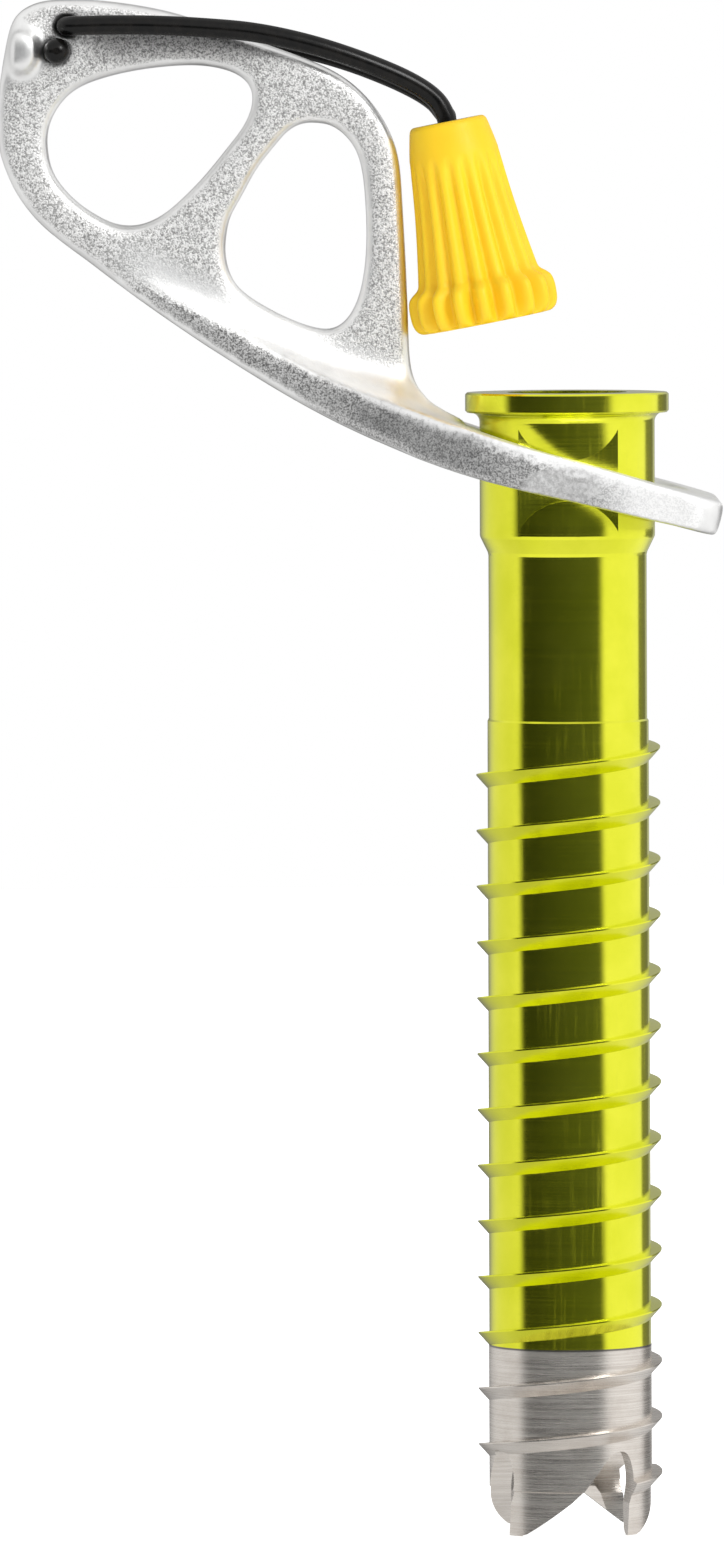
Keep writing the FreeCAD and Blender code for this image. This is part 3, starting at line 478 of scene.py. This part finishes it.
def hanger_piece():
    """The forging with its blends: the CAD shape and the wedges merged, then softened where a die would"""
    import numpy as np
    src = NODES["hanger"]
    me = src.data.copy()
    tmp = bpy.data.objects.new("hanger_work", me)
    scene.collection.objects.link(tmp)
    bm = bmesh.new()
    bm.from_mesh(me)
    wv, wf = blend_wedges()
    made = [bm.verts.new(p) for p in wv]
    for f in wf:
        bm.faces.new([made[i] for i in f])
    bm.normal_update()
    bm.to_mesh(me)
    bm.free()
    md = tmp.modifiers.new("remesh", "REMESH")
    md.mode = "VOXEL"
    md.voxel_size = 0.26 * mm
    md.adaptivity = 0.0
    dg = bpy.context.evaluated_depsgraph_get()
    out = bpy.data.meshes.new_from_object(tmp.evaluated_get(dg))
    bpy.data.objects.remove(tmp)
    n = len(out.vertices)
    co = np.empty(n * 3)
    out.vertices.foreach_get("co", co)
    co = co.reshape(-1, 3) * 1000.0
    ed = np.empty(len(out.edges) * 2, dtype=np.int64)
    out.edges.foreach_get("vertices", ed)
    ed = ed.reshape(-1, 2)
    x, y, z = co[:, 0], co[:, 1], co[:, 2]
    bu = np.array(BAND_UP)
    near = np.full(n, 1e9)
    for (ax, az), (bx, bz) in zip(BAND_UP, BAND_UP[1:]):
        dx, dz = bx - ax, bz - az
        u = np.clip(((x - ax) * dx + (z - az) * dz) / (dx * dx + dz * dz), 0, 1)
        near = np.minimum(near, np.hypot(x - ax - u * dx, z - az - u * dz))
    h = np.interp(x, [p[0] for p in BLEND], [p[1] for p in BLEND])
    reach = h + 2.0
    joint = np.clip((reach - near) / 1.2, 0, 1) * np.clip((-11.0 - x) / 2.0, 0, 1)
    start = np.clip((4.0 - np.hypot(x + 49.0, z - 23.3)) / 2.0, 0, 1)
    boss = np.clip((-55.2 - x) / 0.9, 0, 1) * np.clip((z - 38.0) / 1.5, 0, 1) * np.clip((np.abs(y) - 1.7) / 0.5, 0, 1)
    co = relax(co, ed, np.maximum(joint * (np.abs(y) > 1.9), start), 34)
    co = relax(co, ed, boss, 60)
    band = np.clip((np.abs(y) - 2.4) / 0.4, 0, 1)
    co = relax(co, ed, 0.25 + 0.75 * band * (x < 16), 7)
    co = relax(co, ed, np.clip((x - 12.0) / 2.0, 0, 1), 16)
    # the bar rises and thickens a little towards its far end, outside the flange that the rocked ring passes
    lz = np.interp(co[:, 0], [-3.0, 0.0, 5.76, 9.5, 13.13, 17.3], [-1.3, -2.05, -3.5, -4.45, -5.37, -6.45])
    uz = np.interp(co[:, 0], [-3.0, 0.54, 5.14, 9.62, 13.15, 17.3], [3.2, 2.2, 0.72, -0.84, -2.09, -3.6])
    u = np.clip((co[:, 2] - lz) / (uz - lz), 0, 1)
    up = np.interp(co[:, 0], [-3.0, 0.0, 9.0, 16.75], [0.0, 0.12, 0.45, 1.15])
    low = np.interp(co[:, 0], [-3.0, 0.0, 9.0, 16.75], [0.0, 0.08, 0.20, 0.45])
    co[:, 2] += (u * up + (1 - u) * low) * np.clip((np.hypot(co[:, 0], co[:, 1]) - 11.4) / 1.6, 0, 1)
    # its end is square to the bar, not upright, and its corners are rounded
    far = np.clip((co[:, 0] - 11.0) / 5.75, 0, 1)
    co[:, 0] -= far * (0.15 + 0.95 * (1 - u))
    co = relax(co, ed, np.clip((co[:, 0] - 13.6) / 1.2, 0, 1), 14)
    leaf = np.clip((2.6 - np.abs(y)) / 0.3, 0, 1) * np.clip((-13.0 - x) / 3.0, 0, 1)
    co = relax(co, ed, leaf, 16)
    out.vertices.foreach_set("co", (co * mm).ravel())
    out.update()
    ob = bpy.data.objects.new("hanger_forging", out)
    scene.collection.objects.link(ob)
    out.materials.clear()
    out.materials.append(MATS["hanger"])
    out.shade_smooth()
    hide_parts("hanger")
    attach(ob, "hanger")
    return ob


def tube_along(path, radius, sides=28):
    """Closed round tube that follows the points, its section carried along without twist"""
    pts = [Vector(p) for p in path]
    n = len(pts)
    tangents = []
    for i in range(n):
        tangents.append((pts[min(i + 1, n - 1)] - pts[max(i - 1, 0)]).normalized())
    up = Vector((0.3, 0.2, 0.93))
    normal = (up - tangents[0] * up.dot(tangents[0])).normalized()
    verts, faces = [], []
    for i in range(n):
        t = tangents[i]
        normal = (normal - t * normal.dot(t)).normalized()
        other = t.cross(normal)
        for k in range(sides):
            a = 2 * math.pi * k / sides
            verts.append(((pts[i] + normal * (radius * math.cos(a)) + other * (radius * math.sin(a))) * mm)[:])
    for i in range(n - 1):
        for k in range(sides):
            k2 = (k + 1) % sides
            faces.append((i * sides + k, i * sides + k2, (i + 1) * sides + k2, (i + 1) * sides + k))
    faces.append(tuple(reversed(range(sides))))
    faces.append(tuple((n - 1) * sides + k for k in range(sides)))
    return verts, faces


def bend(corner, a, b, radius, steps=9):
    """Points of the arc that rounds a corner between directions a and b (unit vectors away from it)"""
    half = a.angle(b) / 2
    run = radius / math.tan(half)
    centre = corner + (a + b).normalized() * (radius / math.sin(half))
    p, q = corner + a * run - centre, corner + b * run - centre
    total = p.angle(q)
    out = []
    for k in range(steps + 1):
        u = k / steps
        out.append(centre + p * (math.sin((1 - u) * total) / math.sin(total)) + q * (math.sin(u * total) / math.sin(total)))
    return out


def wire_piece(name, node, body, pivot, y_from, side, run, tail, head):
    """One crank wire: pivot stem, tight bend, long easy curve and the end in the knob"""
    corner = Vector((pivot[0], side, pivot[1]))
    a = Vector((0, 1 if y_from > side else -1, 0))
    b = (Vector(run[0]) - corner).normalized()
    arc = bend(corner, a, b, 1.35)
    stem = [Vector((pivot[0], y_from + (arc[0].y - y_from) * k / 5, pivot[1])) for k in range(5)]
    curve = [Vector(p) for p in catmull([tuple(arc[-1])] + run + tail, 10)]
    path = stem + arc[:-1] + curve
    verts, faces = tube_along(path, 1.04)
    if head == "ball":
        rings, sides = 12, 28
        base = len(verts)
        cy = y_from - 0.55
        for i in range(1, rings):
            a0 = math.pi * i / rings
            for k in range(sides):
                f = 2 * math.pi * k / sides
                y = max(-1.4 * math.cos(a0), -1.4)
                y = min(y, 0.72)
                verts.append(((pivot[0] + 1.4 * math.sin(a0) * math.cos(f)) * mm, (cy + y) * mm,
                              (pivot[1] + 1.4 * math.sin(a0) * math.sin(f)) * mm))
        for i in range(rings - 2):
            for k in range(sides):
                k2 = (k + 1) % sides
                faces.append((base + i * sides + k, base + (i + 1) * sides + k, base + (i + 1) * sides + k2, base + i * sides + k2))
        faces.append(tuple(base + k for k in range(sides)))
        faces.append(tuple(base + (rings - 2) * sides + k for k in reversed(range(sides))))
    else:
        sides = 36
        base = len(verts)
        for y, r in ((1.55, 1.0), (1.72, 1.16), (2.15, 1.44), (2.225, 1.44), (2.24, 1.30)):
            for k in range(sides):
                f = 2 * math.pi * k / sides
                verts.append(((pivot[0] + r * math.cos(f)) * mm, y * mm, (pivot[1] + r * math.sin(f)) * mm))
        for i in range(4):
            for k in range(sides):
                k2 = (k + 1) % sides
                faces.append((base + i * sides + k, base + i * sides + k2, base + (i + 1) * sides + k2, base + (i + 1) * sides + k))
        faces.append(tuple(base + k for k in range(sides)))
        faces.append(tuple(base + 4 * sides + k for k in reversed(range(sides))))
    ob = make_object(name, verts, faces, MATS["wire"])
    bm = bmesh.new()
    bm.from_mesh(ob.data)
    bmesh.ops.recalc_face_normals(bm, faces=bm.faces)
    bm.to_mesh(ob.data)
    bm.free()
    ob.data.shade_smooth()
    for poly in ob.data.polygons:
        if len(poly.vertices) > 4:
            poly.use_smooth = False
    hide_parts(node)
    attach(ob, body)
    return ob


KX, KZ = -12.67, 38.18
DX, DZ = 0.190894, -0.981611
wire_piece("crank_wire_front", "front_crank_wire", "crank", (-53.27, 48.52), 1.9, -3.5,
           [(-48.5, -3.5, 48.62), (-43.5, -3.5, 48.55), (-38.4, -3.5, 48.27), (-33.4, -3.5, 47.78), (-28.4, -3.3, 46.76),
            (-23.45, -2.85, 45.27), (-18.6, -2.1, 43.38), (-15.7, -1.55, 41.9), (-13.95, -1.22, 40.55),
            (-13.05, -1.15, 39.2)],
           [(KX + DX * 0.4, -1.15, KZ + DZ * 0.4), (KX + DX * 4, -1.15, KZ + DZ * 4), (KX + DX * 13.5, -1.15, KZ + DZ * 13.5)],
           "sunk")
wire_piece("crank_wire_back", "back_crank_wire", "back_wire", (-54.24, 45.85), -2.4, 3.5,
           [(-49.0, 3.5, 45.95), (-43.0, 3.5, 46.1), (-37.5, 3.5, 46.35), (-32.6, 3.45, 46.42), (-27.9, 3.25, 45.9),
            (-23.2, 2.75, 44.6), (-18.9, 2.0, 42.95), (-15.9, 1.45, 41.5), (-14.1, 1.18, 40.3), (-13.15, 1.15, 39.2)],
           [(KX - DX * 0.62, 1.15, KZ - DZ * 0.62), (KX - DX * 0.3, 1.15, KZ - DZ * 0.3)],
           "ball")
knob_piece()
hanger_piece()


# ------------------------------------------------------------------ stage and light
def make_stage():
    bpy.ops.mesh.primitive_circle_add(vertices=128, radius=1.2, fill_type="NGON",
                                      location=(0, 0, (-112.9) * mm))
    floor = bpy.context.active_object
    floor.name = "floor"
    m, t, b = material("floor_white")
    b.inputs["Base Color"].default_value = (0.9, 0.9, 0.9, 1)
    b.inputs["Roughness"].default_value = 0.9
    b.inputs["Emission Color"].default_value = (1, 1, 1, 1)
    b.inputs["Emission Strength"].default_value = 0.85
    floor.data.materials.append(m)
    floor.visible_glossy = False


make_stage()


def make_world():
    w = bpy.data.worlds.new("studio")
    scene.world = w
    w.use_nodes = True
    t = Tree(w.node_tree)
    out = t.new("ShaderNodeOutputWorld")
    bg = t.new("ShaderNodeBackground")
    t.link(bg.outputs[0], out.inputs[0])
    gen = t.new("ShaderNodeTexCoord").outputs["Generated"]
    sep = t.new("ShaderNodeSeparateXYZ")
    t.link(gen, sep.inputs[0])
    x, y, z = sep.outputs
    back = t.math("MULTIPLY", y, -1.0)
    az = t.math("MULTIPLY", t.math("ARCTAN2", x, back), 180 / math.pi)
    el = t.math("MULTIPLY", t.math("ARCSINE", z), 180 / math.pi)
    # dark room beside the camera, from 68 degrees left to 49 degrees right of it, lighter to the right
    front = t.math("MULTIPLY", t.smooth(az, -80, -67), t.smooth(az, 43, 56, 1.0, 0.0))
    low = t.math("MULTIPLY", t.smooth(el, -17, -9), t.smooth(el, 8, 15, 1.0, 0.0))
    dark = t.math("MULTIPLY", front, low)
    slot = t.math("MULTIPLY", t.smooth(az, 122, 128), t.smooth(az, 150, 162, 1.0, 0.0))
    slot = t.math("MULTIPLY", slot, low)
    # the softboxes fall off towards the back and overhead
    round_ = t.math("ABSOLUTE", az)
    behind = t.math("MULTIPLY", t.smooth(round_, 128, 176), t.smooth(t.math("ABSOLUTE", el), 75, 40))
    level = t.math("SUBTRACT", 1.04, t.math("MULTIPLY", behind, 0.62))
    level = t.math("SUBTRACT", level, t.smooth(el, 30, 80, 0.0, 0.16))
    level = t.math("SUBTRACT", level, t.math("MULTIPLY", t.smooth(az, -50, -100), t.smooth(el, 60, 20, 0.0, 0.20)))
    level = t.math("SUBTRACT", level, t.smooth(el, -20, -70, 0.0, 0.22))
    soft = t.new("ShaderNodeCombineXYZ")
    for k in range(3):
        t.link(level, soft.inputs[k])
    shade = t.mix(t.linear(az, -50, 46), (0.031, 0.036, 0.040, 1), (0.090, 0.104, 0.110, 1))
    bright = t.mix(dark, soft.outputs[0], shade)
    bright = t.mix(t.math("MULTIPLY", slot, 0.82), bright, (0.05, 0.05, 0.05, 1))
    path = t.new("ShaderNodeLightPath")
    # what matte surfaces gather: less from the left
    gather = t.mix(t.smooth(az, -120, 40), (0.32, 0.323, 0.33, 1), (0.64, 0.645, 0.66, 1))
    dim = t.mix(path.outputs["Is Diffuse Ray"], bright, gather)
    seen = t.mix(path.outputs["Is Camera Ray"], dim, (1.0, 1.0, 1.0, 1))
    t.link(seen, bg.inputs["Color"])
    bg.inputs["Strength"].default_value = 1.0


make_world()


def area(name, loc, aim, size, power, size_y=None):
    d = bpy.data.lights.new(name, "AREA")
    d.energy = power
    d.size = size
    if size_y:
        d.shape = "RECTANGLE"
        d.size_y = size_y
    o = bpy.data.objects.new(name, d)
    o.location = loc
    o.rotation_mode = "QUATERNION"
    o.rotation_quaternion = (Vector(aim) - Vector(loc)).to_track_quat("-Z", "Y")
    scene.collection.objects.link(o)
    return o


key = area("key_soft", (0.62, -0.75, 0.62), (-0.02, 0, 0.0), 0.4, 6.6)
fill = area("top_soft", (-0.1, -0.15, 1.1), (0, 0, 0), 0.9, 1.6)
fill.visible_glossy = False

scene.view_settings.view_transform = "Standard"
scene.view_settings.look = "None"
scene.view_settings.exposure = 0.0
scene.view_settings.gamma = 1.0
